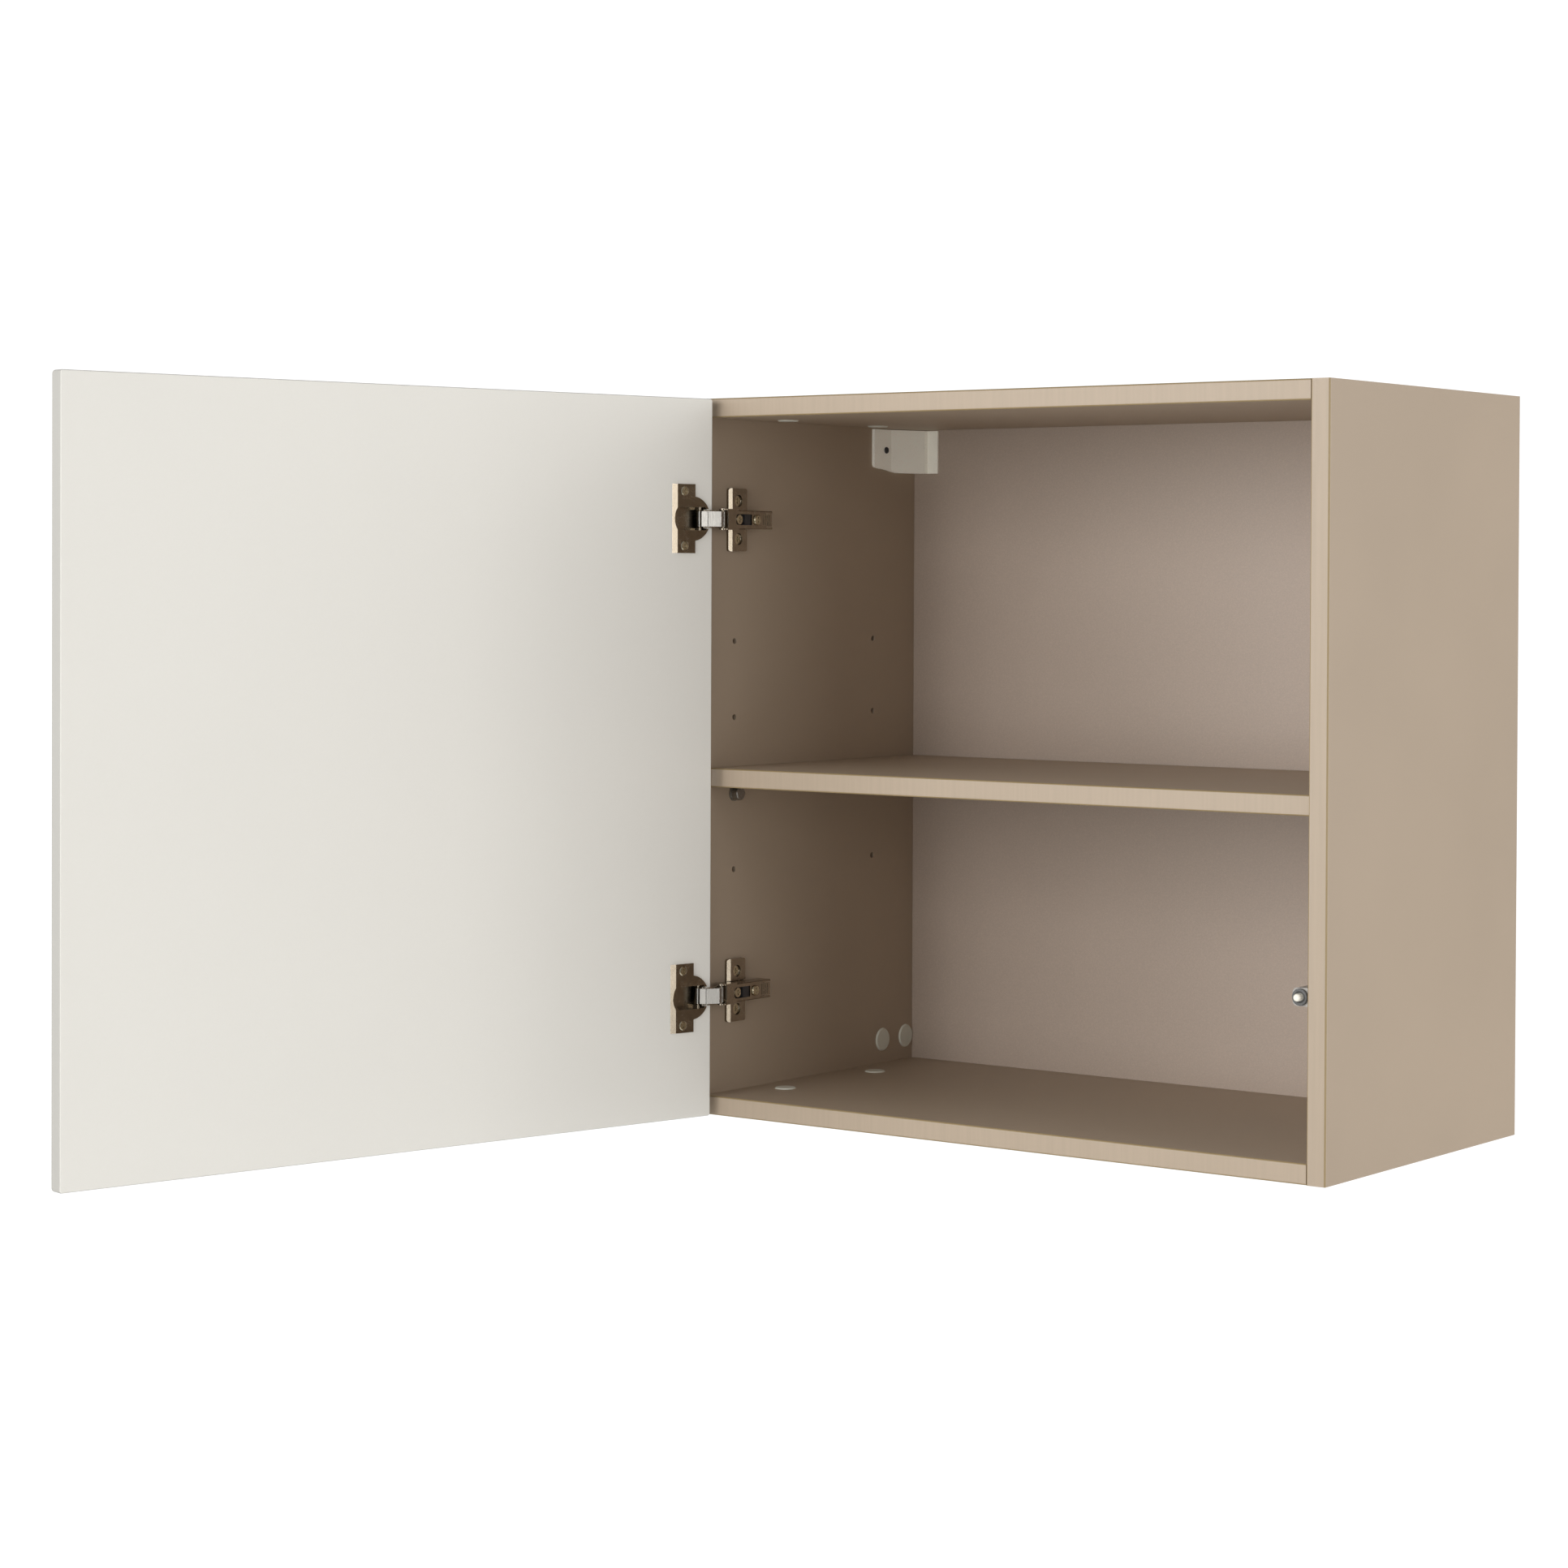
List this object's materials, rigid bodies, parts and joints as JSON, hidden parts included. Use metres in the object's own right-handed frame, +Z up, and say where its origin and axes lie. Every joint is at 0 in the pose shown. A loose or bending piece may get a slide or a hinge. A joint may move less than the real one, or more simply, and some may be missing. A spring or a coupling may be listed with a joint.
{
  "type": "hanging wall cabinet",
  "caption": "Hanging wall cabinet with one left-hung door on concealed cup hinges, a loose shelf, corner wall hangers and a push latch.",
  "frame": {"origin": "on the wall plane, at the middle of the width, level with the underside", "axes": "+Z up, +Y into the wall, +X to the right seen from the front; the door side faces -Y"},
  "size_m": [0.7218, 0.9055, 0.596],
  "materials": {
    "carcass_melamine": "matt melamine board, taupe",
    "edge_band": "matt plastic edge band",
    "back_board": "finely textured thin board",
    "door_white": "warm white matt foil",
    "beech": "plain beech",
    "cap_plastic": "brown-grey cap",
    "dark_screw": "black zinc",
    "white_plastic": "satin moulded",
    "zinc": "cast zinc",
    "bright_nickel": "bright nickel",
    "brassy_screw": "yellow passivated",
    "black_plastic": "black",
    "grey_plastic": "light grey",
    "grey_plastic_dark": "mid grey",
    "spring_steel": "spring steel",
    "dark_nickel": "dark nickel"
  },
  "bodies": {
    "carcass": {"adjusting_screws_lower": "brassy_screw", "adjusting_screws_upper": "brassy_screw", "arm_pin_lower": "dark_nickel", "arm_pin_upper": "dark_nickel", "back_panel": "back_board", "bottom_panel": "carcass_melamine", "cam_bolts": "zinc", "cam_caps": "cap_plastic", "cam_locks": "zinc", "clip_lever_lower": "dark_nickel", "clip_lever_upper": "dark_nickel", "closing_spring_lower": "spring_steel", "closing_spring_upper": "spring_steel", "edge_band_bottom": "edge_band", "edge_band_left": "edge_band", "edge_band_right": "edge_band", "edge_band_top": "edge_band", "hanger_adjuster_left": "zinc", "hanger_adjuster_right": "zinc", "hanger_body_left": "zinc", "hanger_body_right": "zinc", "hanger_cover_left": "white_plastic", "hanger_cover_right": "white_plastic", "hanger_cover_screw_left": "dark_screw", "hanger_cover_screw_right": "dark_screw", "hanger_hook_left": "zinc", "hanger_hook_right": "zinc", "hinge_arm_lower": "dark_nickel", "hinge_arm_upper": "dark_nickel", "latch_cartridge": "grey_plastic_dark", "latch_housing": "grey_plastic", "latch_screws": "brassy_screw", "latch_spring": "spring_steel", "mounting_plate_lower": "dark_nickel", "mounting_plate_upper": "dark_nickel", "plate_screws_lower": "brassy_screw", "plate_screws_upper": "brassy_screw", "shelf": "carcass_melamine", "shelf_edge_band": "edge_band", "shelf_studs": "bright_nickel", "side_hole_caps": "cap_plastic", "side_panel_left": "carcass_melamine", "side_panel_right": "carcass_melamine", "slot_slider_lower": "black_plastic", "slot_slider_upper": "black_plastic", "top_panel": "carcass_melamine", "wood_dowels": "beech"},
    "outer_links": {"outer_link_lower": "bright_nickel", "outer_link_upper": "bright_nickel"},
    "inner_links": {"inner_link_lower": "dark_nickel", "inner_link_upper": "dark_nickel"},
    "door": {"cup_pin_lower": "dark_nickel", "cup_pin_upper": "dark_nickel", "cup_screws_lower": "brassy_screw", "cup_screws_upper": "brassy_screw", "door_panel": "door_white", "hinge_cup_lower": "dark_nickel", "hinge_cup_upper": "dark_nickel"},
    "plunger": {"latch_plunger": "white_plastic"}
  },
  "joints": [
    {"name": "link_swing", "type": "hinge", "parent": "carcass", "child": "outer_links", "pos_m": [-0.2698, -0.31291, 0.298], "axis": [0, 0, -1], "range_deg": [-1.6, 37.53]},
    {"name": "door_swing", "type": "hinge", "parent": "outer_links", "child": "door", "pos_m": [-0.27858, -0.333, 0.298], "axis": [0, 0, -1], "range_deg": [-140.8, 6.1]},
    {"name": "inner_link_swing", "type": "hinge", "parent": "carcass", "child": "inner_links", "pos_m": [-0.27384, -0.30602, 0.298], "axis": [0, 0, -1], "range_deg": [-1.6, 36.2]},
    {"name": "latch_push", "type": "slide", "parent": "carcass", "child": "plunger", "axis": [0, 1, 0], "range_m": [0, 0.004], "stiffness_N_per_m": 400, "springref_m": -0.002, "deforming": ["latch_spring"]}
  ],
  "couplings": [
    {"joint": "door_swing", "follows": "link_swing", "ratio": -3.7498},
    {"joint": "inner_link_swing", "follows": "link_swing", "ratio": 0.96243}
  ]
}
